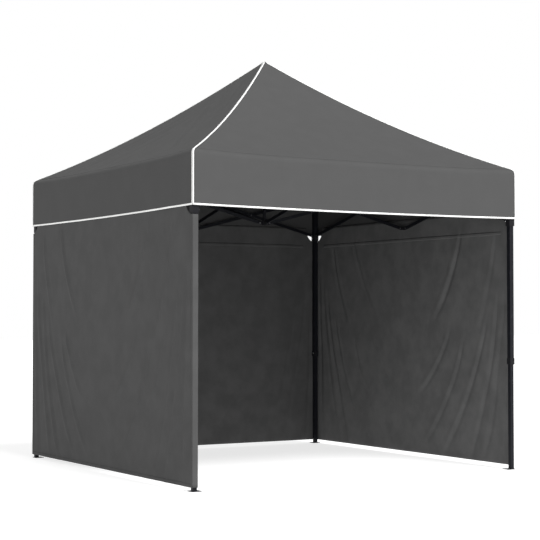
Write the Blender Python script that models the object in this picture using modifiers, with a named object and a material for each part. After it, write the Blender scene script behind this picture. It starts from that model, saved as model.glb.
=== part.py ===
"""Pop-up canopy tent, 3 m square: a folding scissor frame on four telescoping legs, a four-panel
roof with valances, and three side walls. The front, at -Y, is open.

Frame: +Z up, origin on the ground under the middle of the tent, +Y to the back. Metres.
Corners are named from outside the open front: front_left is at (-X, -Y).
"""

import math

import bmesh
import bpy
from mathutils import Matrix, Vector

# Roof and walls
CANOPY = 3.0  # side of the roof over the valances
APEX_Z = 3.428
EAVE_Z = 2.44  # fold between roof and valance, at the corners
EAVE_SAG = 0.025  # how far that fold hangs at the middle of a side
VALANCE = 0.395  # height of the valance at the corners
HEM_Z = EAVE_Z - VALANCE
HIP_SAG = 0.075  # how far a hip hangs below a straight line from peak to corner
FABRIC = 0.001
SEAM_GAP = 0.0012  # between neighbouring roof panels
PEAK_HOLE = 0.03  # half width of the opening that the four panels leave at the peak
WALL_GAP = 0.002  # between a valance and the wall inside it
WALL_BOTTOM = 0.03
WALL_TOP = HEM_Z + 0.075
CORNER_CUT = (0.117, 0.142)  # width and height of the round notches in a wall's top corners
CUT_STEPS = 5
WRAP = 0.045  # flap of the left wall that turns round the front leg

# Legs
LEG = 0.038  # outer tube, square
LEG_WALL = 0.0012
LEG_BOTTOM = 0.86
INNER_LEG = LEG - 2 * (LEG_WALL + 0.0018)
INNER_TOP = 1.40
FOOT = (0.076, 0.004)  # side and thickness of the foot plate
FOOT_GAP = 0.002  # between the foot plate and the walls, so that it can slide up inside them
PEG_HOLE = 0.009
BRACKET = (LEG + 0.010, 0.055)  # side and height of the plastic corner on a leg
BRACKET_DROP = 0.020  # from the eave down to the bracket's top, clear of the roof where it sags

# Slider and its lock button
SLIDE_FIT = 0.0008
SLIDER = (LEG + 2 * (SLIDE_FIT + 0.0052), 0.074)  # side and height
BOSS = (0.024, 0.030, 0.007)  # width, height and depth of the button's housing
BOSS_DROP = 0.032  # from the slider's pivot down to the button
BUTTON = 0.013
BUTTON_FIT = 0.0005
BUTTON_OUT = 0.005  # how far the button stands out
BUTTON_TRAVEL = 0.004
LEG_INSET = SLIDER[0] / 2 + WALL_GAP + 2 * FABRIC + 0.003  # from the canopy's side to a leg's middle

# Scissor bars
UPPER_Z = EAVE_Z - 0.040  # upper pivots
LOWER_Z = UPPER_Z - 0.355  # lower pivots
BAR = (0.012, 0.026)  # thickness and depth of the bars
BAR_WALL = 0.0008
BAR_GAP = 0.001  # between two crossing bars
LUG = 0.0046  # thickness of a lug, which stands in the other bar's layer
LUG_RADIUS = BAR[1] / 2
LUG_TAPER = 0.97  # height of a lug at its root, as a share of its round end
PIN = 0.008
PIN_FIT = 0.0004
PIN_SIDES = 8

# Connectors, hubs and peak pole
CONNECTOR = (0.030, 0.032)  # side and height of the block at the middle of a side
POLE = 0.028
POLE_WALL = 0.0014
POLE_TOP = APEX_Z - 0.478
UPPER_POLE = POLE - 2 * (POLE_WALL + 0.0016)
UPPER_POLE_BOTTOM = POLE_TOP - 0.370
POLE_FIT = 0.0012
HUB_CORE = (POLE + 2 * (POLE_FIT + 0.0078), 0.040)  # diameter and height
PEAK_CAP = (0.080, 0.045)  # diameter and height
PEAK_CAP_DROP = 0.022  # from the peak of the roof down to the cap
CAP_SOCKET = 0.010  # depth of the rod in the cap

HALF = CANOPY / 2
LEG_AT = HALF - LEG_INSET
PIVOT_ROOM = BAR[1] / 2 + 0.007  # from a slider's or connector's side to the pivots of its bars
LEG_REACH = SLIDER[0] / 2 + PIVOT_ROOM  # from a leg's middle to those pivots
MID_REACH = CONNECTOR[0] / 2 + PIVOT_ROOM  # from the middle of a side to those pivots
RUN = LEG_AT - LEG_REACH - MID_REACH  # level distance between a bar's end pivots
RISE = UPPER_Z - LOWER_Z
BAR_LENGTH = math.hypot(RUN, RISE)
SLOPE = math.atan2(RISE, RUN)
LAYER = (BAR[0] + BAR_GAP) / 2  # from a truss's middle plane to a bar's middle
HUB_REACH = LEG_REACH  # so that the spokes run as far as the sides' bars

SIDES = {"front": 0, "right": 1, "back": 2, "left": 3}  # quarter turns from -Y
CORNERS = {"front_left": (-1, -1), "front_right": (1, -1), "back_right": (1, 1), "back_left": (-1, 1)}

PARTS = bpy.data.collections.new("pop_up_canopy")
CUTTERS = bpy.data.collections.new("cutters")
MATERIALS = {}


def clear_scene():
    for obj in list(bpy.data.objects):
        bpy.data.objects.remove(obj, do_unlink=True)
    bpy.context.scene.collection.children.link(PARTS)
    bpy.context.scene.collection.children.link(CUTTERS)


def material(name, colour, roughness, metallic=0.0):
    made = bpy.data.materials.new(name)
    made.use_nodes = True
    shader = made.node_tree.nodes["Principled BSDF"]
    shader.inputs["Base Color"].default_value = (*colour, 1)
    shader.inputs["Roughness"].default_value = roughness
    shader.inputs["Metallic"].default_value = metallic
    MATERIALS[name] = made


def mesh_from(bm, name):
    mesh = bpy.data.meshes.new(name)
    bm.to_mesh(mesh)
    bm.free()
    return mesh


def box(bm, size, centre):
    place = Matrix.Translation(centre) @ Matrix.Diagonal((*size, 1))
    bmesh.ops.create_cube(bm, size=1, matrix=place)


def box_mesh(name, size, centre=(0, 0, 0)):
    bm = bmesh.new()
    box(bm, size, centre)
    return mesh_from(bm, name)


def cylinder_mesh(name, diameter, length, centre=(0, 0, 0), axis="Y", sides=PIN_SIDES):
    turn = {
        "X": Matrix.Rotation(math.pi / 2, 4, "Y"),
        "Y": Matrix.Rotation(math.pi / 2, 4, "X"),
        "Z": Matrix.Identity(4),
    }[axis]
    bm = bmesh.new()
    bmesh.ops.create_cone(
        bm,
        cap_ends=True,
        segments=sides,
        radius1=diameter / 2,
        radius2=diameter / 2,
        depth=length,
        matrix=Matrix.Translation(centre) @ turn,
    )
    return mesh_from(bm, name)


def tool(mesh):
    """A hidden helper that a Boolean adds or takes away."""
    obj = bpy.data.objects.new(mesh.name, mesh)
    CUTTERS.objects.link(obj)
    obj.hide_render = True
    obj.display_type = "WIRE"
    return obj


def combined(base, added=(), removed=()):
    """The base mesh with meshes joined to it and then others cut from it."""
    obj = tool(base)
    for operation, meshes in (("UNION", added), ("DIFFERENCE", removed)):
        for mesh in meshes:
            modifier = obj.modifiers.new(operation.lower(), "BOOLEAN")
            modifier.operation = operation
            modifier.object = tool(mesh)
    bpy.context.view_layer.update()
    graph = bpy.context.evaluated_depsgraph_get()
    made = bpy.data.meshes.new_from_object(obj.evaluated_get(graph))
    made.name = base.name
    for modifier in obj.modifiers:
        bpy.data.objects.remove(modifier.object, do_unlink=True)
    bpy.data.objects.remove(obj, do_unlink=True)
    return made


def part(name, mesh, finish, matrix, parent=None):
    """A finished piece at a place given in world space."""
    obj = bpy.data.objects.new(name, mesh)
    PARTS.objects.link(obj)
    obj.parent = parent
    obj.matrix_world = matrix
    if not mesh.materials:
        mesh.materials.append(MATERIALS[finish])
    return obj


def pivot(name, matrix, parent=None):
    """An empty on a joint's axis, with its own Y along the axis."""
    obj = bpy.data.objects.new(name, None)
    PARTS.objects.link(obj)
    obj.empty_display_size = 0.05
    obj.parent = parent
    obj.matrix_world = matrix
    return obj


def side_frame(side):
    """From a side's own frame to the world: X along the side, Y inwards, the middle of the leg line."""
    turn = Matrix.Rotation(SIDES[side] * math.pi / 2, 4, "Z")
    return turn @ Matrix.Translation((0, -LEG_AT, 0))


def spoke_frame(side):
    """An inner truss's own frame: X outwards from the middle of the tent to the side."""
    return Matrix.Rotation((SIDES[side] - 1) * math.pi / 2, 4, "Z")


# Bars. Each one's own frame has X along it, Y across the truss and its middle at the origin.


def bar_mesh(name, face, crossing_pin):
    """A rectangular tube with a rivet at each end that stands out on its `face` side (+1 or -1).
    The crossing rivet stands out of one bar and goes into a hole in the other."""
    thick, deep = BAR
    length = BAR_LENGTH + deep
    tube = combined(
        box_mesh(name, (length, thick, deep)),
        removed=[box_mesh("bore", (length * 2, thick - 2 * BAR_WALL, deep - 2 * BAR_WALL))],
    )
    stub = BAR_GAP / 2 + LUG + BAR_WALL / 2
    at = thick / 2 - BAR_WALL / 2 + stub / 2
    pins = [
        cylinder_mesh("rivet", PIN, stub, (end * BAR_LENGTH / 2, face * at, 0)) for end in (-1, 1)
    ]
    if not crossing_pin:
        hole = cylinder_mesh("hole", PIN + 2 * PIN_FIT, thick, (0, face * thick / 2, 0))
        return combined(tube, pins, [hole])
    reach = BAR_GAP + 3 * BAR_WALL
    middle = cylinder_mesh("rivet", PIN, reach, (0, face * (thick / 2 - BAR_WALL / 2 + reach / 2), 0))
    return combined(tube, [*pins, middle])


def scissor_pair(names, frame, start, outward, meshes):
    """Two crossing bars over one run. `start` is where the run begins along X of the frame, and
    `outward` is the way it goes. The first falls that way and lies on the frame's +Y side."""
    centre = (start + outward * RUN / 2, 0, (UPPER_Z + LOWER_Z) / 2)
    for name, layer, lean, mesh in zip(names, (LAYER, -LAYER), (1, -1), meshes):
        place = Matrix.Translation((centre[0], layer, centre[2]))
        tilt = Matrix.Rotation(lean * outward * SLOPE, 4, "Y")
        axis = pivot(f"{name}_axis", frame @ place)
        part(name, mesh, "black_steel", frame @ place @ tilt, axis)


def lug_mesh(root, reach, side):
    """A plate from `root` to a round end at `reach`, on one side of the plane through the axis."""
    arc = [math.radians(angle) for angle in range(-90, 91, 30)]
    outline = [(reach + LUG_RADIUS * math.cos(a), LUG_RADIUS * math.sin(a)) for a in arc]
    outline += [(root, LUG_RADIUS * LUG_TAPER), (root, -LUG_RADIUS * LUG_TAPER)]
    bm = bmesh.new()
    near, far = ([bm.verts.new((x, y, z)) for x, z in outline] for y in (0, side * LUG))
    bm.faces.new(near)
    bm.faces.new(far[::-1])
    for n in range(len(outline)):
        after = (n + 1) % len(outline)
        bm.faces.new((near[n], far[n], far[after], near[after]))
    bmesh.ops.recalc_face_normals(bm, faces=bm.faces)
    return mesh_from(bm, "lug")


def lugs_round(reach, root, sides_by_turn, height=0.0):
    """Lugs at quarter turns about Z, as the shapes to join and the pivot holes to cut. A lug's side,
    +1 or -1, is the layer that it stands in."""
    added, holes = [], []
    for quarter, side in sides_by_turn.items():
        lug = lug_mesh(root, reach, side)
        hole = cylinder_mesh("lug_hole", PIN + 2 * PIN_FIT, 3 * LUG, (reach, side * LUG / 2, 0))
        place = Matrix.Translation((0, 0, height)) @ Matrix.Rotation(quarter * math.pi / 2, 4, "Z")
        for mesh in (lug, hole):
            mesh.transform(place)
        added.append(lug)
        holes.append(hole)
    return added, holes


def connector_mesh(name, side):
    """A joint at the middle of a side: two lugs along the side and one inwards, to the spoke truss."""
    width, height = CONNECTOR
    lugs, holes = lugs_round(MID_REACH, width / 4, {0: side, 2: -side, 1: side})
    return combined(box_mesh(name, (width, width, height)), lugs, holes)


def hub_mesh(name, side, bore):
    """A hub with four lugs round a core, and a bore for the peak pole."""
    core = cylinder_mesh(name, *HUB_CORE, axis="Z", sides=20)
    lugs, holes = lugs_round(HUB_REACH, HUB_CORE[0] * 0.4, dict.fromkeys(range(4), side))
    hole = cylinder_mesh("bore", bore, HUB_CORE[1] * 2, axis="Z", sides=20)
    return combined(core, lugs, [hole, *holes])


# Legs. Each is built for the front left corner, with its sides towards +X and +Y.


def square_tube(name, side, wall, bottom, top):
    middle, height = (bottom + top) / 2, top - bottom
    bore = side - 2 * wall
    return combined(
        box_mesh(name, (side, side, height), (0, 0, middle)),
        removed=[box_mesh("bore", (bore, bore, 2 * height), (0, 0, middle))],
    )


def outer_leg_mesh():
    """The outer tube with the plastic corner bracket on its top, whose lugs hold the falling bars."""
    top = EAVE_Z - BRACKET_DROP
    side, height = BRACKET
    tube = square_tube("outer_leg", LEG, LEG_WALL, LEG_BOTTOM, top - height / 2)
    corner = box_mesh("bracket", (side, side, height), (0, 0, top - height / 2))
    lugs, holes = lugs_round(LEG_REACH, LEG / 2, {0: 1, 1: -1}, UPPER_Z)
    socket = box_mesh("socket", (LEG - 2 * LEG_WALL,) * 2 + (height,), (0, 0, top - height))
    return combined(tube, [corner, *lugs], [socket, *holes])


def inner_leg_mesh():
    """The inner tube welded to its foot plate. The plate is set inwards, clear of the walls, and has
    two holes for pegs beside the tube."""
    side, thick = FOOT
    tube = square_tube("inner_leg", INNER_LEG, LEG_WALL, thick / 2, INNER_TOP)
    inwards = max(0, side / 2 - (LEG_INSET - WALL_GAP - 2 * FABRIC - FOOT_GAP))
    plate = box_mesh("foot", (side, side, thick), (inwards, inwards, thick / 2))
    at = (side + INNER_LEG) / 4
    holes = [
        cylinder_mesh("peg_hole", PEG_HOLE, 3 * thick, (x, y, 0), axis="Z")
        for x, y in ((inwards - at, inwards + at), (inwards + at, inwards - at))
    ]
    return combined(tube, [plate], holes)


def slider_mesh():
    """The sleeve that runs on the outer leg, with lugs for the rising bars and the button's housing."""
    side, height = SLIDER
    drop = height / 2 - LUG_RADIUS - 0.002
    sleeve = box_mesh("slider", (side, side, height), (0, 0, LOWER_Z - drop))
    lugs, holes = lugs_round(LEG_REACH, side * 0.45, {0: -1, 1: 1}, LOWER_Z)
    width, tall, deep = BOSS
    boss = box_mesh("boss", (deep * 2, width, tall), (side / 2, 0, LOWER_Z - BOSS_DROP))
    bore = LEG + 2 * SLIDE_FIT
    channel = box_mesh("channel", (bore, bore, height * 2), (0, 0, LOWER_Z - drop))
    shaft = cylinder_mesh(
        "shaft", BUTTON + 2 * BUTTON_FIT, side, ((LEG + side) / 2, 0, LOWER_Z - BOSS_DROP), "X", 16
    )
    return combined(sleeve, [boss, *lugs], [channel, shaft, *holes])


def button_mesh():
    inner = LEG / 2 + SLIDE_FIT + BUTTON_TRAVEL
    outer = SLIDER[0] / 2 + BOSS[2] + BUTTON_OUT
    return cylinder_mesh("button", BUTTON, outer - inner, ((inner + outer) / 2, 0, 0), "X", 16)


def build_legs():
    outer, inner, slider, button = outer_leg_mesh(), inner_leg_mesh(), slider_mesh(), button_mesh()
    for corner, (x, y) in CORNERS.items():
        quarter = {(-1, -1): 0, (1, -1): 1, (1, 1): 2, (-1, 1): 3}[x, y]
        place = Matrix.Translation((x * LEG_AT, y * LEG_AT, 0))
        place = place @ Matrix.Rotation(quarter * math.pi / 2, 4, "Z")
        leg = part(f"outer_leg_{corner}", outer, "black_steel", place)
        part(f"inner_leg_{corner}", inner, "black_steel", place, leg)
        sleeve = part(f"slider_{corner}", slider, "black_plastic", place, leg)
        at = place @ Matrix.Translation((0, 0, LOWER_Z - BOSS_DROP))
        part(f"slider_button_{corner}", button, "grey_plastic", at, sleeve)


def build_frame():
    rising = bar_mesh("rising_bar", -1, crossing_pin=True)
    falling = bar_mesh("falling_bar", 1, crossing_pin=False)
    upper = connector_mesh("upper_connector", -1)
    lower = connector_mesh("lower_connector", 1)
    for side in SIDES:
        frame = side_frame(side)
        for name, mesh, z in (("upper", upper, UPPER_Z), ("lower", lower, LOWER_Z)):
            part(f"{name}_connector_{side}", mesh, "black_plastic", frame @ Matrix.Translation((0, 0, z)))
        for way, label in ((-1, "a"), (1, "b")):
            names = [f"{side}_rising_bar_{label}", f"{side}_falling_bar_{label}"]
            start = way * MID_REACH
            scissor_pair(names, frame, start, way, (rising, falling))
        names = [f"spoke_upper_bar_{side}", f"spoke_lower_bar_{side}"]
        scissor_pair(names, spoke_frame(side), HUB_REACH, 1, (rising, falling))


def build_middle():
    still = Matrix.Identity(4)
    upper = hub_mesh("upper_hub", -1, POLE + 2 * POLE_FIT)
    part("upper_hub", upper, "black_plastic", Matrix.Translation((0, 0, UPPER_Z)))
    hub = hub_mesh("lower_hub", 1, POLE + 0.0006)
    lower = part("lower_hub", hub, "black_plastic", Matrix.Translation((0, 0, LOWER_Z)))
    tube = round_tube("peak_pole_tube", POLE, LOWER_Z - HUB_CORE[1] / 2, POLE_TOP)
    part("peak_pole_tube", tube, "black_steel", still, lower)
    cap_top = APEX_Z - PEAK_CAP_DROP
    seat = cap_top - PEAK_CAP[1] + CAP_SOCKET
    rod = round_tube("peak_pole_rod", UPPER_POLE, UPPER_POLE_BOTTOM, seat)
    part("peak_pole_rod", rod, "bare_steel", still, lower)
    part("peak_cap", peak_cap_mesh(cap_top), "black_plastic", still, lower)


def round_tube(name, diameter, bottom, top):
    middle, height = (bottom + top) / 2, top - bottom
    return combined(
        cylinder_mesh(name, diameter, height, (0, 0, middle), axis="Z", sides=20),
        removed=[
            cylinder_mesh(
                "bore", diameter - 2 * POLE_WALL, 2 * height, (0, 0, middle), axis="Z", sides=20
            )
        ],
    )


def cone_mesh(name, wide, narrow, low, high):
    bm = bmesh.new()
    bmesh.ops.create_cone(
        bm,
        cap_ends=True,
        segments=24,
        radius1=wide / 2,
        radius2=narrow / 2,
        depth=high - low,
        matrix=Matrix.Translation((0, 0, (low + high) / 2)),
    )
    return mesh_from(bm, name)


def peak_cap_mesh(top):
    """A cone under the roof's own slope, on a stem with a socket for the rod."""
    width, height = PEAK_CAP
    stem = UPPER_POLE + 0.012
    brim = top - width * 0.43
    cone = cone_mesh("peak_cap", width, 0.012, brim, top)
    sleeve = cone_mesh("stem", stem, stem, top - height, brim + 0.006)
    hole = UPPER_POLE + 0.0006
    socket = cone_mesh("socket", hole, hole, top - height - 0.01, top - height + CAP_SOCKET + 0.0005)
    return combined(cone, [sleeve], [socket])


# Roof and walls


def hip_height(share):
    """Height of a hip at a share of the way from the peak to the corner."""
    straight = APEX_Z + share * (EAVE_Z - APEX_Z)
    return straight - 4 * HIP_SAG * share * (1 - share)


def eave_drop(across):
    return EAVE_SAG * (1 - across**4)


def grid_surface(name, columns, rows, point):
    bm = bmesh.new()
    verts = [[bm.verts.new(point(c / columns, r)) for c in range(columns + 1)] for r in range(rows + 1)]
    for above, below in zip(verts, verts[1:]):
        for c in range(columns):
            bm.faces.new((above[c], below[c], below[c + 1], above[c + 1]))
    return mesh_from(bm, name)


def roof_panel_mesh():
    """A quarter of the roof with its valance, for the front. The surface is the inner face."""
    slope_rows, columns = 7, 8
    first = PEAK_HOLE / HALF

    def point(across, row):
        across = 2 * across - 1
        share = min(1.0, first + (1 - first) * row / slope_rows)
        out = HALF * share
        half_width = out - SEAM_GAP
        z = hip_height(share) - share**3 * eave_drop(across)
        if row > slope_rows:
            z = HEM_Z
        return Vector((across * half_width, -out, z))

    return grid_surface("roof_panel", columns, slope_rows + 1, point)


def corner_notch(edge, inwards):
    """Points round a notch in a wall's top corner, from the wall's edge to its top."""
    wide, tall = CORNER_CUT
    angles = [n * math.pi / 2 / CUT_STEPS for n in range(CUT_STEPS + 1)]
    return [(edge + inwards * wide * math.sin(a), WALL_TOP - tall * math.cos(a)) for a in angles]


def wall_mesh(side):
    """A side wall with notched top corners. The right wall stops at its front leg, and the left one
    has a flap that turns round its own."""
    half = HALF - WALL_GAP - FABRIC
    end = half - FABRIC - SEAM_GAP
    start = -LEG_AT if side == "right" else -end
    outline = [(start, WALL_BOTTOM), (end, WALL_BOTTOM)]
    outline += corner_notch(end, -1) + corner_notch(start, 1)[::-1]
    bm = bmesh.new()
    verts = [bm.verts.new((x, -half, z)) for x, z in outline]
    bm.faces.new(verts)
    if side == "left":
        top = WALL_TOP - CORNER_CUT[1]
        flap = [bm.verts.new((end, -half + WRAP, z)) for z in (WALL_BOTTOM, top)]
        bm.faces.new((verts[1], flap[0], flap[1], verts[2]))
    return mesh_from(bm, "wall")


def thicken(obj, outwards):
    modifier = obj.modifiers.new("thickness", "SOLIDIFY")
    modifier.thickness = FABRIC
    modifier.offset = outwards
    modifier.use_even_offset = True


def build_fabric():
    panel = roof_panel_mesh()
    for side, quarter in SIDES.items():
        turn = Matrix.Rotation(quarter * math.pi / 2, 4, "Z")
        thicken(part(f"roof_panel_{side}", panel, "grey_polyester", turn), 1)
        if side != "front":
            thicken(part(f"wall_{side}", wall_mesh(side), "grey_polyester", turn), -1)


def main():
    clear_scene()
    material("black_steel", (0.012, 0.013, 0.016), 0.42, 0.6)
    material("bare_steel", (0.45, 0.45, 0.46), 0.35, 1.0)
    material("black_plastic", (0.015, 0.015, 0.017), 0.5)
    material("grey_plastic", (0.25, 0.25, 0.26), 0.45)
    material("grey_polyester", (0.12, 0.12, 0.125), 0.85)
    build_legs()
    build_frame()
    build_middle()
    build_fabric()


main()
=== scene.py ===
# %% [markdown]
# # A pop-up canopy, 3 m square, with three side walls
#
# The steel frame comes in ready made: legs, scissor bars, sliders and hubs that already fold. This
# script dresses it. It sews the cloth roof, the valances and the walls, binds their edges in white
# tape, sets the rivets, paints every metal and plastic piece, and lights the result.
#
# The canopy stands on the ground at the origin, +Z is up, and the open front faces -Y.

# %% Load the frame
import math

import bmesh
import bpy
from mathutils import Matrix, Vector, noise


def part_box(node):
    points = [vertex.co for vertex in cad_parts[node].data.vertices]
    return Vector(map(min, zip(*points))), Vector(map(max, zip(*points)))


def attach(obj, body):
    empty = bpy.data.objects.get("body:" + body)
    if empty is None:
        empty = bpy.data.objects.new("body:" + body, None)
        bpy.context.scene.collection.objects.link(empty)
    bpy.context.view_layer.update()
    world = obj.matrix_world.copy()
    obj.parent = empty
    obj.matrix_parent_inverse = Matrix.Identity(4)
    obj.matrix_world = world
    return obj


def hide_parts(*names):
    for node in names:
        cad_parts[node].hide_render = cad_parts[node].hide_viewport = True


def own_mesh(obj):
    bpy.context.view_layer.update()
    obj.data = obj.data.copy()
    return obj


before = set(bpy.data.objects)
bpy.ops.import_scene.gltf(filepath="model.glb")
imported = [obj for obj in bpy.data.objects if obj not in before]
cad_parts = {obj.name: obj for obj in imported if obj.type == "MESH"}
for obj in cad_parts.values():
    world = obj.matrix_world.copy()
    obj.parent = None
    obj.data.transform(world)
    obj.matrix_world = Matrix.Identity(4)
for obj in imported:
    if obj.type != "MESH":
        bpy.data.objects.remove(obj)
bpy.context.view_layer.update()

# %% [markdown]
# ## Sizes that the cloth has to share with the frame
#
# Cloth is cut to fit poles, so its sizes are read from the poles. The box round the front roof panel
# gives the side of the roof and the height of the hem, and the box round a wall gives the wall. The
# few values that a box can't tell, such as how deep the roof's edges hang, are written here once.

# %% Measure the roof, the walls and the bars
panel_low, panel_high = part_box("roof_panel_front")
wall_low, wall_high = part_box("wall_back")
leg_low, leg_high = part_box("outer_leg_front_left")
CLOTH = 0.0008  # thickness
HALF = -panel_low[1]
HEM_Z = panel_low[2]
EAVE_Z = 2.441
APEX_Z = 3.431
HIP_SAG = 0.075  # of a hip, halfway down
EAVE_SAG = 0.025  # of an eave, halfway along
BRACKET_HALF = 0.024  # half the width of a leg's corner bracket
LEG_AT = -(leg_low[0] + BRACKET_HALF)
WALL_OUT = wall_high[1] - CLOTH
WALL_BOTTOM = wall_low[2]
WALL_TOP = wall_high[2]
WALL_HALF = wall_high[0]
SIDES = {"front": 0, "right": 1, "back": 2, "left": 3}
print(f"roof {2 * HALF:.3f} m a side, hem at {HEM_Z:.3f} m, walls from {WALL_BOTTOM:.3f} m")


def turned(side):
    """The turn that takes the front side to another one."""
    return Matrix.Rotation(SIDES[side] * math.pi / 2, 4, "Z")


# %% [markdown]
# ## Colours and finishes
# The roof's lining is a darker grey than its outer face: that is painted shade for the inside of the tent.
#
# Polyester awning cloth is a plain weave with a matt coating. Three things make it look like cloth
# and not like card: a weave that only shows as a broken sheen, soft patches where the coating is a
# little thicker, and creases from being folded in a bag. Each is a small bump or a small change of
# tone, so the cloth still reads as one flat grey from across a garden. The inner face carries the
# waterproof coating, so it has a finish of its own.
#
# The three walls are one cloth on a real canopy. Their linings have different greys here because this
# studio is plain: the greys stand in for light that a richer studio would add.
#
# The nodes work from object coordinates in metres, which every cloth piece shares, so the weave has
# one size all over and no unwrapping is needed.

# %% Helpers for materials
def new_material(name, colour, roughness, metallic=0.0, sheen=0.0):
    made = bpy.data.materials.new(name)
    made.use_nodes = True
    shader = made.node_tree.nodes["Principled BSDF"]
    shader.inputs["Base Color"].default_value = (*colour, 1)
    shader.inputs["Roughness"].default_value = roughness
    shader.inputs["Metallic"].default_value = metallic
    shader.inputs["Sheen Weight"].default_value = sheen
    return made, made.node_tree, shader


def add_node(tree, kind, **sockets):
    node = tree.nodes.new(kind)
    for name, value in sockets.items():
        node.inputs[name.replace("_", " ")].default_value = value
    return node


def noise_of(tree, scale, detail=3.0, stretch=(1, 1, 1)):
    """Noise in metres: `scale` features to a metre, stretched along each axis."""
    place = tree.nodes.new("ShaderNodeTexCoord")
    mapping = add_node(tree, "ShaderNodeMapping", Scale=stretch)
    tree.links.new(place.outputs["Object"], mapping.inputs["Vector"])
    grain = add_node(tree, "ShaderNodeTexNoise", Scale=scale, Detail=detail)
    tree.links.new(mapping.outputs["Vector"], grain.inputs["Vector"])
    return grain.outputs["Fac"]


def ramp(tree, factor, low, high, dark, light):
    """Turns a factor between low and high into a colour between dark and light."""
    node = tree.nodes.new("ShaderNodeValToRGB")
    node.color_ramp.elements[0].position = low
    node.color_ramp.elements[0].color = (*dark, 1)
    node.color_ramp.elements[1].position = high
    node.color_ramp.elements[1].color = (*light, 1)
    tree.links.new(factor, node.inputs["Fac"])
    return node.outputs["Color"]


def bump(tree, shader, height, strength, distance, under=None):
    node = add_node(tree, "ShaderNodeBump", Strength=strength, Distance=distance)
    tree.links.new(height, node.inputs["Height"])
    if under is not None:
        tree.links.new(under, node.inputs["Normal"])
    tree.links.new(node.outputs["Normal"], shader.inputs["Normal"])
    return node.outputs["Normal"]


# %% The awning cloth
def awning_cloth(name, grey, fold_bump, patchy):
    """Coated polyester: tone patches, bag creases and a fine weave."""
    dark, light = ([grey * (1 + change)] * 3 for change in (-patchy, patchy))
    made, tree, shader = new_material(name, (grey,) * 3, 0.85, sheen=0.01)
    shader.inputs["Sheen Roughness"].default_value = 0.5
    shader.inputs["Specular IOR Level"].default_value = 0.02
    patches = noise_of(tree, 7.0, 6.0)
    tree.links.new(ramp(tree, patches, 0.36, 0.66, dark, light), shader.inputs["Base Color"])
    creases = bump(tree, shader, noise_of(tree, 5.5, 5.0, (1.0, 1.0, 0.45)), fold_bump, 0.012)
    weave = noise_of(tree, 420.0, 2.0)
    bump(tree, shader, weave, 0.12, 0.0006, creases)
    return made


ROOF_CLOTH = awning_cloth("roof_polyester", 0.077, 0.10, 0.02)
WALL_CLOTH = awning_cloth("wall_polyester", 0.076, 0.32, 0.055)
# The roof lining's darker grey is painted shade that darkens the inside of the tent.
ROOF_LINING = awning_cloth("roof_lining_painted_shade", 0.065, 0.10, 0.04)
# Each wall's lining grey is painted light and shade: the right lining is paler than the back and left ones.
WALL_LININGS = {
    side: awning_cloth(f"wall_lining_painted_light_{side}", grey, 0.34, 0.10)
    for side, grey in {"right": 0.110, "back": 0.080, "left": 0.080}.items()
}
print("cloths:", ROOF_CLOTH.name, WALL_CLOTH.name)

# %% [markdown]
# The white tape that binds the hips and hems is a coarser weave than the cloth, ribbed across its
# width, and it takes a little dirt. Ribs that run one way come from a wave texture.

# %% The binding tape
def binding_tape():
    made, tree, shader = new_material("white_tape", (0.86, 0.86, 0.85), 0.7, sheen=0.1)
    grime = ramp(tree, noise_of(tree, 9.0), 0.3, 0.7, (0.80, 0.80, 0.79), (0.90, 0.90, 0.89))
    tree.links.new(grime, shader.inputs["Base Color"])
    place = tree.nodes.new("ShaderNodeTexCoord")
    ribs = add_node(tree, "ShaderNodeTexWave", Scale=160.0, Distortion=0.4)
    tree.links.new(place.outputs["Object"], ribs.inputs["Vector"])
    bump(tree, shader, ribs.outputs["Fac"], 0.35, 0.0005)
    return made


TAPE = binding_tape()

# %% [markdown]
# The tubes are powder coated: a hard black skin with a faint orange peel and paler scuffs. Moulded
# plastic is blacker and duller, with a spark-eroded grain. Bare steel shows at the rivets and at the
# sprung rod under the peak.

# %% Metals and plastics
def coated(name, colour, scuffed, roughness, metallic, grain, depth):
    """A painted or moulded skin with paler scuffs and a fine grain."""
    made, tree, shader = new_material(name, colour, roughness, metallic)
    shader.inputs["Specular IOR Level"].default_value = 0.5 if metallic == 1.0 else 0.12
    scuffs = ramp(tree, noise_of(tree, 34.0, 6.0), 0.58, 0.80, colour, scuffed)
    tree.links.new(scuffs, shader.inputs["Base Color"])
    dull = ramp(tree, noise_of(tree, 12.0), 0.3, 0.7, (roughness - 0.06,) * 3, (roughness + 0.08,) * 3)
    tree.links.new(dull, shader.inputs["Roughness"])
    bump(tree, shader, noise_of(tree, grain, 2.0), 0.3, depth)
    return made


COATED_STEEL = coated(
    "powder_coated_steel", (0.009, 0.0095, 0.0125), (0.024, 0.024, 0.028), 0.46, 0.0, 900, 0.0002
)
BAR_STEEL = coated("coated_bar_steel", (0.008, 0.0085, 0.011), (0.024, 0.024, 0.027), 0.48, 0.0, 800, 0.0002)
MOULDED = coated("moulded_plastic", (0.011, 0.011, 0.013), (0.022, 0.022, 0.024), 0.55, 0.0, 1500, 0.0003)
BUTTON_GREY = coated("button_plastic", (0.16, 0.16, 0.17), (0.2, 0.2, 0.2), 0.42, 0.0, 1200, 0.0002)
RIVET_STEEL = coated("blackened_rivet_steel", (0.10, 0.10, 0.105), (0.2, 0.2, 0.2), 0.42, 1.0, 500, 0.0001)
BARE_STEEL = coated("bare_steel", (0.42, 0.42, 0.43), (0.30, 0.29, 0.28), 0.32, 1.0, 500, 0.0001)

# %% [markdown]
# ## Painting the frame
#
# Every frame piece keeps its shape. Real tube corners are rolled and moulded corners are rounded, so
# each one gets a narrow bevel, no wider than its wall allows, and its own finish.

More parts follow.
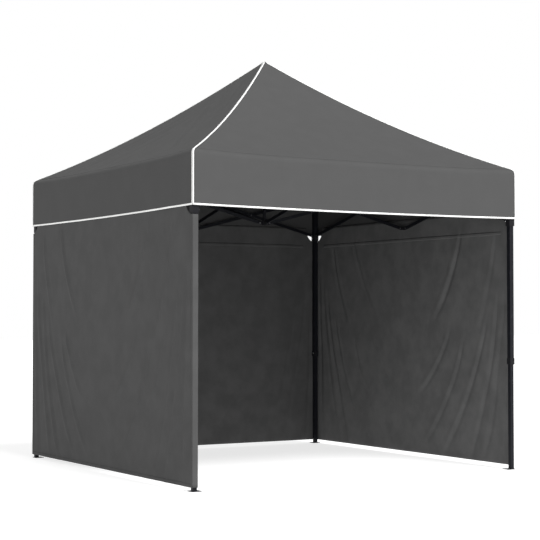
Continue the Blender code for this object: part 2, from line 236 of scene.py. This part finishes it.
# %% Finish and round the frame pieces
FINISHES = (
    ("slider_button", BUTTON_GREY, 0.0012),
    ("slider", MOULDED, 0.0015),
    ("upper_connector", MOULDED, 0.0012),
    ("lower_connector", MOULDED, 0.0012),
    ("upper_hub", MOULDED, 0.0012),
    ("lower_hub", MOULDED, 0.0012),
    ("peak_cap", MOULDED, 0.0015),
    ("peak_pole_rod", BARE_STEEL, 0.0003),
    ("peak_pole_tube", COATED_STEEL, 0.0003),
    ("outer_leg", COATED_STEEL, 0.0005),
    ("inner_leg", COATED_STEEL, 0.0005),
)


def finish_frame():
    for name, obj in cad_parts.items():
        if name.startswith(("roof_panel", "wall")):
            continue
        found = [f for f in FINISHES if name.startswith(f[0])]
        _, finish, width = found[0] if found else ("bar", BAR_STEEL, 0.0003)
        obj.data.materials.clear()
        obj.data.materials.append(finish)
        edge = obj.modifiers.new("rounded edges", "BEVEL")
        edge.width = width
        edge.segments = 2
        edge.limit_method = "ANGLE"
        edge.angle_limit = math.radians(40)
        edge.harden_normals = False


finish_frame()

# %% [markdown]
# ## Cloth as a rule for points
#
# A sheet of cloth is easiest to hold as a rule: give it a place across and a place down, and it
# answers with a point in space. A grid of such points is the mesh. Because the roof and the valance
# are cut from the same rule, they meet along their fold without a gap, and the tapes that bind them
# are the same rule again, a millimetre further out.

# %% A mesh from a rule
def object_from(bm, name, finish, soft=True):
    """Turns finished mesh data into an object with one material."""
    mesh = bpy.data.meshes.new(name)
    bm.to_mesh(mesh)
    bm.free()
    mesh.materials.append(finish)
    if soft:
        mesh.shade_smooth()
    obj = bpy.data.objects.new(name, mesh)
    bpy.context.scene.collection.objects.link(obj)
    return obj


def sheet_mesh(name, columns, rows, point, finish, place):
    """A grid of quads. point(across, down) takes shares from 0 to 1."""
    bm = bmesh.new()
    verts = [
        [bm.verts.new(point(c / columns, r / rows)) for c in range(columns + 1)] for r in range(rows + 1)
    ]
    for above, below in zip(verts, verts[1:]):
        for c in range(columns):
            bm.faces.new((above[c], below[c], below[c + 1], above[c + 1]))
    bm.transform(place)
    return object_from(bm, name, finish)


def thicken(obj, thickness, offset):
    solid = obj.modifiers.new("cloth thickness", "SOLIDIFY")
    solid.thickness = thickness
    solid.offset = offset
    return obj


def lined(obj, lining):
    """Gives the cloth's inner skin its own finish."""
    obj.data.materials.append(lining)
    obj.modifiers["cloth thickness"].material_offset = 1
    return obj


def smooth(share):
    """0 before 0, 1 after 1, and an easy curve between."""
    share = min(max(share, 0.0), 1.0)
    return share * share * (3 - 2 * share)


# %% [markdown]
# A crease may stand out of a sheet as far as it likes, but hardly inwards, because the frame is close
# behind the cloth, and closer still when the canopy is folded. So a wave's troughs are squeezed flat.


# %% Keep creases off the frame
def outward(height, trough=0.0015):
    """The height as it is where it stands out, and squeezed towards zero where it goes in."""
    return (height + math.hypot(height, 2 * trough)) / 2 - trough


# %% [markdown]
# ## The roof
#
# Nothing but the peak pole and four leg tops holds the roof up, so its hips sag between them like a
# slack rope, and the cloth between two hips is pulled nearly flat. The profile down the middle of a
# side is that sagging line, then a tight roll over the eave, then the valance hanging straight down.

# %% The roof's rule
SLOPE_LENGTH = math.hypot(HALF, APEX_Z - EAVE_Z)
ROLL = 0.028  # cloth taken up by the roll over the eave
VALANCE = EAVE_Z - HEM_Z
SPLIT = 0.975  # the roof cloth stops here, and the valance's cloth begins
HEM_SAG = 0.010


def slope_point(across, share):
    """(out, up) on the slope: `across` from -1 to 1 between the hips, `share` from peak to eave."""
    straight = APEX_Z + share * (EAVE_Z - APEX_Z)
    height = straight - 4 * HIP_SAG * share * (1 - share)
    return HALF * share, height - share**3 * EAVE_SAG * (1 - across**4)


def roof_profile(across, down):
    """(out, up) at a distance down the cloth from the peak."""
    share = down / SLOPE_LENGTH
    roll = ROLL / SLOPE_LENGTH
    if share <= 1 - roll:
        return slope_point(across, share)
    out, eave = slope_point(across, 1.0)
    if share < 1 + roll:
        start = Vector(slope_point(across, 1 - roll))
        end = Vector((out, eave - ROLL))
        turn = (share - 1 + roll) / (2 * roll)
        corner = Vector((out, eave))
        point = start * (1 - turn) ** 2 + corner * 2 * turn * (1 - turn) + end * turn**2
        return point.x, point.y
    left = (down - SLOPE_LENGTH - ROLL) / (VALANCE - ROLL)
    hem = HEM_Z - HEM_SAG * (1 - across**2)
    return out, (eave - ROLL) * (1 - left) + hem * left


# %% [markdown]
# Creases finish the roof. Near the hips the cloth is pulled, so fine wrinkles run beside the seam.
# The valance hangs free and waves a little. Both fade to nothing at the edges, where the next panel
# or the tape holds the cloth. Noise stretched along one direction makes such wrinkles.

# %% Creases for the roof and valance
WRINKLED = {"front": 0.25, "right": 0.7, "back": 0.7, "left": 1.5}


def roof_crease(side, across, down):
    share = down / SLOPE_LENGTH
    hold = 1 - abs(across) ** 8
    if share < 1:
        beside_hip = (1 - abs(across)) * share * HALF
        along_hip = share * 2.1
        seed = SIDES[side] * 7.3 + (3.1 if across > 0 else 0.0)
        fine = noise.noise(Vector((beside_hip * 11, along_hip * 1.4, seed)))
        broad = noise.noise(Vector((across * share * 2.0, share * 1.7, seed + 40)))
        size = WRINKLED[side] * (0.0042 * fine * smooth(beside_hip / 0.03) + 0.006 * broad)
        return size * hold * smooth(share * 6) * smooth((1.0 - share) * 12)
    left = (down - SLOPE_LENGTH) / VALANCE
    wave = noise.noise(Vector((across * 3.2, left * 0.7, SIDES[side] * 5.1 + 11)))
    pull = noise.noise(Vector((across * 9.0, left * 1.5, SIDES[side] * 5.1 + 23)))
    loose = (0.35 + 0.65 * WRINKLED[side]) * smooth(left * 1.6)
    return outward(0.010 * wave + 0.0025 * pull) * hold * loose


def canopy_point(side, across, down, lift=0.0):
    """A point on the front side's cloth, before it is turned to its own side."""
    out, up = roof_profile(across, down)
    out_next, up_next = roof_profile(across, down + 0.002)
    slope = Vector((out_next - out, up_next - up)).normalized()
    push = roof_crease(side, across, down) + lift
    out_push, up_push = -slope.y * push, slope.x * push
    return Vector((across * out, -(out + out_push), up + up_push))


PEAK_START = 0.004
ROOF_COLUMNS, ROOF_ROWS = 84, 64
VALANCE_ROWS = 30


def sew_roof(side):
    first, last = PEAK_START, SPLIT * SLOPE_LENGTH

    def slope(across, down):
        return canopy_point(side, 2 * across - 1, first + (last - first) * down)

    def skirt(across, down):
        return canopy_point(side, 2 * across - 1, last + (SLOPE_LENGTH + VALANCE - last) * down)

    turn = turned(side)
    roof = sheet_mesh(f"roof_cloth_{side}", ROOF_COLUMNS, ROOF_ROWS, slope, ROOF_CLOTH, turn)
    valance = sheet_mesh(f"valance_{side}", ROOF_COLUMNS, VALANCE_ROWS, skirt, ROOF_CLOTH, turn)
    return [lined(thicken(cloth, CLOTH, -1), ROOF_LINING) for cloth in (roof, valance)]


roofs = {side: sew_roof(side) for side in SIDES}
print("roof cloths and valances:", 2 * len(roofs))

# %% [markdown]
# ## White binding
#
# A folded tape covers each hip seam and each corner of the valance, and runs round the hem. One tape
# lies half on each panel. Sewn as two halves, each half can stay with its own panel when the canopy
# folds up. The tape is crowned: its middle stands a little higher than its stitched edges.

# %% Bind the hips, corners and hem
HIP_TAPE = 0.011  # half width
HEM_TAPE = 0.012
TAPE_LIFT = 0.0012


def bind_edge(name, side, end, start, stop, rows):
    """Half a tape along one hip or corner: `end` is -1 or 1, from one distance down to another."""

    def tape(across, down):
        distance = start + (stop - start) * down
        out = max(roof_profile(end, distance)[0], HIP_TAPE)
        inward = across * HIP_TAPE / out
        crown = 0.0012 * (1 - across**2)
        return canopy_point(side, end * (1 - inward), distance, TAPE_LIFT + crown)

    obj = sheet_mesh(name, 4, rows, tape, TAPE, turned(side))
    if end > 0:
        obj.data.flip_normals()
    return thicken(obj, 0.001, 0)


def bind_hem(side):
    bottom = SLOPE_LENGTH + VALANCE

    def tape(across, down):
        crown = 0.001 * math.sin(math.pi * down)
        lip = 0.0015
        distance = bottom - HEM_TAPE * (1 - down) + lip * down
        return canopy_point(side, 2 * across - 1, distance, TAPE_LIFT + crown)

    return thicken(sheet_mesh(f"hem_tape_{side}", 60, 5, tape, TAPE, turned(side)), 0.001, 0)


def sew_binding(side):
    split = SPLIT * SLOPE_LENGTH
    hips, drops = [], []
    for end, label in ((-1, "a"), (1, "b")):
        hips.append(bind_edge(f"hip_tape_{side}_{label}", side, end, PEAK_START, split, 60))
        drops.append(bind_edge(f"corner_tape_{side}_{label}", side, end, split, SLOPE_LENGTH + VALANCE, 24))
    return hips, [*drops, bind_hem(side)]


tapes = {side: sew_binding(side) for side in SIDES}
print("tapes:", sum(len(hips) + len(drops) for hips, drops in tapes.values()))

# %% [markdown]
# ## The side walls
#
# A wall hangs from the truss and is tied to a leg at each end. Its weight goes to its two upper
# corners, so folds start near there, close together, and bend towards the middle as they fall, the
# way a curtain hung from two hooks does. The long ones reach the hem, and short ones die out halfway.
# Each fold is a soft ridge along such a curve, with a shallow hollow beside it. A little noise moves
# every fold, so that no two ends of a wall are alike.

# %% Folds that fall from the upper corners
WALL_FOLDS = {"right": (1.0, 0.9), "back": (0.40, 0.45), "left": (1.2, 1.2)}  # strength at both ends
FOLD_PATHS = (  # from the wall's end, at the fold's top and foot, and the same below the wall's top
    ((0.05, 0.14), (0.35, 2.25)),
    ((0.11, 0.44), (0.45, 2.25)),
    ((0.21, 0.62), (0.60, 2.25)),
    ((0.34, 0.98), (0.80, 2.20)),
    ((0.26, 0.52), (0.10, 1.05)),
    ((0.64, 1.02), (0.06, 0.95)),
    ((0.60, 1.16), (1.00, 2.10)),
    ((0.78, 1.20), (0.95, 1.60)),
)
FOLD_DEPTH = 0.012


def corner_folds(from_end, below, seed):
    """How far the folds of one end stand out, in shares of a fold's depth."""
    total = 0.0
    for n, ((near, far), (top, foot)) in enumerate(FOLD_PATHS):
        along_fold = (below - top) / (foot - top)
        if not 0 < along_fold < 1:
            continue
        moved = 1.05 + 0.22 * noise.noise(Vector((n * 3.7, seed, 0.5)))
        line = (near + (far - near) * along_fold**1.6) * moved
        line += 0.022 * noise.noise(Vector((below * 1.8, n * 5.3, seed)))
        width = 0.017 + 0.016 * along_fold
        apart = (from_end - line) / width
        if abs(apart) > 5:
            continue
        size = 0.8 + 0.7 * noise.noise(Vector((n * 1.9, seed + 8, below * 0.8)))
        fade = smooth(along_fold / 0.25) * smooth((1 - along_fold) / 0.25)
        total += size * fade * (math.exp(-(apart**2)) - 0.6 * math.exp(-((apart - 1.7) ** 2)))
    return total


def wall_crease(side, along, height):
    """How far the cloth stands out at a place along the wall and a height."""
    below = WALL_TOP - height
    first, last = WALL_FOLDS[side]
    seed = SIDES[side] * 4.7
    folds = first * corner_folds(along + WALL_HALF, below, seed)
    folds += last * corner_folds(WALL_HALF - along, below, seed + 31)
    strength = (first + last) / 2
    sway = noise.noise(Vector((along * 1.1, height * 0.5, seed + 60)))
    ripple = noise.noise(Vector((along * 5.5, height * 1.3, seed + 90)))
    rumple = noise.noise(Vector((along * 9.0, height * 8.0, seed + 120)))
    loose = 0.008 * sway * smooth(below / 0.5)
    loose += strength * (0.0035 * ripple + 0.0014 * rumple) * smooth(below / 0.2)
    held = smooth((WALL_HALF - abs(along)) / 0.05)
    return outward(FOLD_DEPTH * folds + loose + 0.001) * held


# %% [markdown]
# Each top corner has a quarter-round notch that clears the slider. It is made by squeezing the
# grid: near each end the top of every column drops along the arc. Columns that crowd together where
# the arc is steep keep the cut edge smooth.

# %% Cut and hang the walls
CUT_WIDE, CUT_TALL = 0.117, 0.142
WALL_COLUMNS, WALL_ROWS = 320, 110
END_SHARE = 0.05  # of the columns, kept for each notch


def wall_ends(side):
    """Where a wall starts and ends along its side. The right wall stops behind its front leg."""
    return (-LEG_AT if side == "right" else -WALL_HALF), WALL_HALF


def top_of_wall(side, along):
    start, end = wall_ends(side)
    share = min(along - start, end - along) / CUT_WIDE
    return WALL_TOP - CUT_TALL * math.sqrt(max(0.0, 1 - share**2))


def along_wall(side, across):
    """A place along the wall. Columns crowd together where a notch is steep."""
    start, end = wall_ends(side)
    if across < END_SHARE:
        return start + CUT_WIDE * math.sin(across / END_SHARE * math.pi / 2)
    if across > 1 - END_SHARE:
        return end - CUT_WIDE * math.sin((1 - across) / END_SHARE * math.pi / 2)
    share = (across - END_SHARE) / (1 - 2 * END_SHARE)
    return start + CUT_WIDE + (end - start - 2 * CUT_WIDE) * share


def hang_wall(side):
    def cloth(across, down):
        along = along_wall(side, across)
        top = top_of_wall(side, along)
        height = top + (WALL_BOTTOM - top) * down
        return Vector((along, -(WALL_OUT + wall_crease(side, along, height)), height))

    wall = sheet_mesh(f"wall_cloth_{side}", WALL_COLUMNS, WALL_ROWS, cloth, WALL_CLOTH, turned(side))
    return lined(thicken(wall, CLOTH, -1), WALL_LININGS[side])


walls = {side: hang_wall(side) for side in WALL_FOLDS}

# %% [markdown]
# The left wall turns round the front leg and is fastened behind it, so a narrow strip of cloth covers
# the leg's front. A doubled hem runs round every wall: a second thickness of cloth, a thumb wide,
# stitched down along its inner edge.

# %% The flap round the front leg, and the doubled hems
FLAP = 0.045
HEM_WIDE = 0.028
HEM_LIFT = 0.0007
BAND_Z = 1.95  # a band sewn inside, under the ties to the truss


def wrap_flap():
    top = WALL_TOP - CUT_TALL

    def cloth(across, down):
        height = top + (WALL_BOTTOM - top) * down
        ripple = 0.0012 * noise.noise(Vector((height * 3.0, across * 2.0, 7.7)))
        along = WALL_HALF + 0.0006
        return Vector((along, -WALL_OUT + FLAP * across + 0.0006, height)) + Vector((ripple * across, 0, 0))

    flap = sheet_mesh("wall_flap_left", 8, 80, cloth, WALL_CLOTH, turned("left"))
    flap.data.flip_normals()
    return thicken(flap, CLOTH, 0)


def hem_strip(side, name, place, columns, rows, lift=HEM_LIFT, finish=WALL_CLOTH):
    """A strip on a face of a wall. place(across, down) gives (along, height)."""

    def cloth(across, down):
        along, height = place(across, down)
        return Vector((along, -(WALL_OUT + wall_crease(side, along, height) + lift), height))

    return thicken(sheet_mesh(name, columns, rows, cloth, finish, turned(side)), CLOTH, -1)


def hem_wall(side):
    start, end = wall_ends(side)

    def bottom(across, down):
        return start + (end - start) * across, WALL_BOTTOM + HEM_WIDE * (1 - down)

    def band(across, down):
        inside = CUT_WIDE + 0.03
        return start + inside + (end - start - 2 * inside) * across, BAND_Z - HEM_WIDE * down

    strips = [
        hem_strip(side, f"wall_hem_{side}_bottom", bottom, WALL_COLUMNS, 3),
        hem_strip(side, f"wall_band_{side}", band, WALL_COLUMNS, 3, -2 * CLOTH, WALL_LININGS[side]),
    ]
    for way, label, tip in ((1, "a", start), (-1, "b", end)):

        def edge(across, down, way=way, tip=tip):
            along = tip + way * HEM_WIDE * across
            top = top_of_wall(side, along)
            return along, top + (WALL_BOTTOM + HEM_WIDE - top) * down

        strip = hem_strip(side, f"wall_hem_{side}_{label}", edge, 3, 96)
        if way < 0:
            strip.data.flip_normals()
        strips.append(strip)
    return strips


flap = wrap_flap()
hems = {side: hem_wall(side) for side in walls}
hems["left"].append(flap)
print("walls:", len(walls), "hem strips:", sum(map(len, hems.values())))

# %% [markdown]
# ## Rivets
#
# Each pivot of a scissor frame is one rivet through a bar and a lug, or through two bars where they
# cross. Only its two domed heads show. The heads go on as one small mesh for each bar and turn with
# the bar.

# %% Where the pivots are
LEG_REACH = 0.045  # from a leg's middle to the pivots of its bars
MID_REACH = 0.035  # from the middle of a side to the pivots beside it
BAR_THICK, BAR_GAP, LUG = 0.012, 0.001, 0.0046  # LUG is a lug's thickness
UPPER_Z, LOWER_Z = 2.400, 2.045
RUN = LEG_AT - LEG_REACH - MID_REACH
HEAD = 0.0075
HEAD_HEIGHT = 0.0028
OUTER_FACE = BAR_GAP / 2 + BAR_THICK


def dome(bm, centre, way):
    """A rivet's head: the top of a ball, flattened, with its flat side on the bar."""
    squeeze = Matrix.Diagonal((HEAD, HEAD_HEIGHT, HEAD, 1))
    made = bmesh.ops.create_uvsphere(bm, u_segments=14, v_segments=8, radius=1.0, matrix=squeeze)
    for vert in made["verts"]:
        vert.co.y = way * max(vert.co.y, 0.0)
        vert.co += Vector(centre)
    if way < 0:
        faces = {face for vert in made["verts"] for face in vert.link_faces}
        bmesh.ops.reverse_faces(bm, faces=list(faces))


def rivet_bar(bar, place, pivots, layer, crossing):
    """Heads for one bar. `layer` is +1 or -1, the side of the truss that the bar lies on."""
    bm = bmesh.new()
    for x, z in pivots:
        dome(bm, (x, layer * OUTER_FACE, z), layer)
        dome(bm, (x, -layer * LUG, z), -layer)
    if crossing:
        x, z = ((a + b) / 2 for a, b in zip(*pivots))
        dome(bm, (x, OUTER_FACE, z), 1)
        dome(bm, (x, -OUTER_FACE, z), -1)
    bm.transform(place)
    obj = object_from(bm, f"rivets_{bar}", RIVET_STEEL)
    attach(obj, bar)


def rivet_truss(place, names, start, way):
    """The two bars of one crossing. The first is high at `start`, the second is low there."""
    end = start + way * RUN
    rivet_bar(names[0], place, ((start, UPPER_Z), (end, LOWER_Z)), 1, crossing=True)
    rivet_bar(names[1], place, ((start, LOWER_Z), (end, UPPER_Z)), -1, crossing=False)


for side in SIDES:
    truss = turned(side) @ Matrix.Translation((0, -LEG_AT, 0))
    for way, label in ((-1, "a"), (1, "b")):
        bars = (f"{side}_rising_bar_{label}", f"{side}_falling_bar_{label}")
        rivet_truss(truss, bars, way * MID_REACH, way)
    spoke = turned(side) @ Matrix.Rotation(-math.pi / 2, 4, "Z")
    rivet_truss(spoke, (f"spoke_upper_bar_{side}", f"spoke_lower_bar_{side}"), LEG_REACH, 1)

# %% [markdown]
# ## Small pieces on the legs
#
# A moulded collar closes the lower end of each outer tube and keeps the inner tube from rattling. A
# steel spring button in it locks the height. The collar is a square ring with rounded corners, made
# as a loop of outline points that is carried up the leg and then rounded.

# %% Collars and leg buttons
CORNERS = {  # quarter turns, and the signs of x and y
    "front_left": (0, -1, -1),
    "front_right": (1, 1, -1),
    "back_right": (2, 1, 1),
    "back_left": (3, -1, 1),
}
COLLAR_OUT, COLLAR_IN, COLLAR_TALL = 0.0225, 0.0166, 0.045
LEG_HALF = 0.019
LEG_FOOT_Z = leg_low[2]


def square_ring(bm, half, height_low, height_high, inner):
    """A square tube of the given half widths between two heights."""
    rings = []
    for reach, z in ((half, height_low), (half, height_high), (inner, height_high), (inner, height_low)):
        corners = ((-reach, -reach), (reach, -reach), (reach, reach), (-reach, reach))
        rings.append([bm.verts.new((x, y, z)) for x, y in corners])
    for low, high in zip(rings, rings[1:] + rings[:1]):
        for n in range(4):
            bm.faces.new((low[n], low[(n + 1) % 4], high[(n + 1) % 4], high[n]))


def leg_fittings(corner, quarter, x, y):
    place = Matrix.Translation((x * LEG_AT, y * LEG_AT, 0)) @ Matrix.Rotation(quarter * math.pi / 2, 4, "Z")
    bm = bmesh.new()
    square_ring(bm, COLLAR_OUT, LEG_FOOT_Z - 0.006, LEG_FOOT_Z - 0.0004, COLLAR_IN)
    square_ring(bm, COLLAR_OUT, LEG_FOOT_Z - 0.0005, LEG_FOOT_Z + COLLAR_TALL, LEG_HALF + 0.0003)
    bmesh.ops.recalc_face_normals(bm, faces=bm.faces)
    bm.transform(place)
    collar = object_from(bm, f"leg_collar_{corner}", MOULDED, soft=False)
    edge = collar.modifiers.new("rounded edges", "BEVEL")
    edge.width = 0.0012
    edge.segments = 2
    bm = bmesh.new()
    dome(bm, (0, 0, 0), 1)
    bm.transform(
        place
        @ Matrix.Translation((COLLAR_OUT, 0, LEG_FOOT_Z + COLLAR_TALL / 2))
        @ Matrix.Rotation(-math.pi / 2, 4, "Z")
    )
    button = object_from(bm, f"leg_button_{corner}", BARE_STEEL)
    for obj, finish in ((collar, "black_plastic"), (button, "rod_steel")):
        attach(obj, f"outer_leg_{corner}")


for corner, (quarter, x, y) in CORNERS.items():
    leg_fittings(corner, quarter, x, y)

# %% [markdown]
# ## What the cloth does when the frame folds
#
# As the frame closes, the sides come in to a bundle a foot across. The valances stay at the leg tops
# and bunch up along their length. The roof swings down round the peak and hangs outside the bundle.
# The walls bunch up between their legs. Each piece of cloth therefore goes with one body, and keeps
# its own shape as it moves.


def go_with(obj, body):
    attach(obj, body)
    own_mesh(obj)


for side in SIDES:
    roof, valance = roofs[side]
    hips, drops = tapes[side]
    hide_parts(f"roof_panel_{side}")
    for obj in (roof, *hips):
        go_with(obj, f"roof_panel_{side}")
    for obj in (valance, *drops):
        go_with(obj, f"upper_connector_{side}")

for side, wall in walls.items():
    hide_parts(f"wall_{side}")
    for obj in (wall, *hems[side]):
        go_with(obj, f"upper_connector_{side}")

# %% [markdown]
# ## Floor, light and camera
#
# The canopy stands in a white studio. The floor is white and glows a little, like a lit sweep of
# paper, so it stays white under the tent. The sky is bright near the horizon and dimmer overhead: that
# lights upright walls as much as the roof. One broad light from the front and a little to the right
# keeps the front brighter than the left side.

# %% The studio
HORIZON, OVERHEAD = 1.0, 0.34
FRONT_LIGHT = 3.58
LIGHT_TILT, LIGHT_TURN, LIGHT_WIDTH = 38.5, 12, 22  # degrees
FLOOR_GREY, FLOOR_GLOW = 0.45, 0.75


def paint_sky(world):
    """White round the horizon, dimmer overhead."""
    tree = world.node_tree
    sky = tree.nodes["Background"]
    place = tree.nodes.new("ShaderNodeTexCoord")
    split = tree.nodes.new("ShaderNodeSeparateXYZ")
    tree.links.new(place.outputs["Generated"], split.inputs["Vector"])
    shade = ramp(tree, split.outputs["Z"], 0.26, 0.60, (HORIZON,) * 3, (OVERHEAD,) * 3)
    tree.links.new(shade, sky.inputs["Color"])
    sky.inputs["Strength"].default_value = 1.0


def build_studio():
    scene = bpy.context.scene
    scene.view_settings.view_transform = "Standard"
    bpy.ops.mesh.primitive_plane_add(size=120, location=(0, 0, -0.0005))
    floor = bpy.context.object
    floor.name = "studio_floor"
    paint, _, shader = new_material("studio_white", (FLOOR_GREY,) * 3, 0.9)
    shader.inputs["Specular IOR Level"].default_value = 0.0
    shader.inputs["Emission Color"].default_value = (1, 1, 1, 1)
    shader.inputs["Emission Strength"].default_value = FLOOR_GLOW
    floor.data.materials.append(paint)
    world = bpy.data.worlds.new("studio")
    scene.world = world
    world.use_nodes = True
    paint_sky(world)
    sun = bpy.data.lights.new("front_light", "SUN")
    sun.energy = FRONT_LIGHT
    sun.angle = math.radians(LIGHT_WIDTH)
    lamp = bpy.data.objects.new("front_light", sun)
    lamp.rotation_euler = (math.radians(LIGHT_TILT), 0, math.radians(LIGHT_TURN))
    scene.collection.objects.link(lamp)


build_studio()

# %% The camera
CAMERA_AT = (-6.409, -10.662, 1.2496)
TILT = 0.0315  # radians above level
TURN = -31.23  # degrees

lens = bpy.data.cameras.new("camera")
lens.lens = 97.22
lens.sensor_width = 36
lens.clip_end = 200
camera = bpy.data.objects.new("camera", lens)
camera.location = CAMERA_AT
camera.rotation_euler = (math.pi / 2 + TILT, 0, math.radians(TURN))
bpy.context.scene.collection.objects.link(camera)
bpy.context.scene.camera = camera
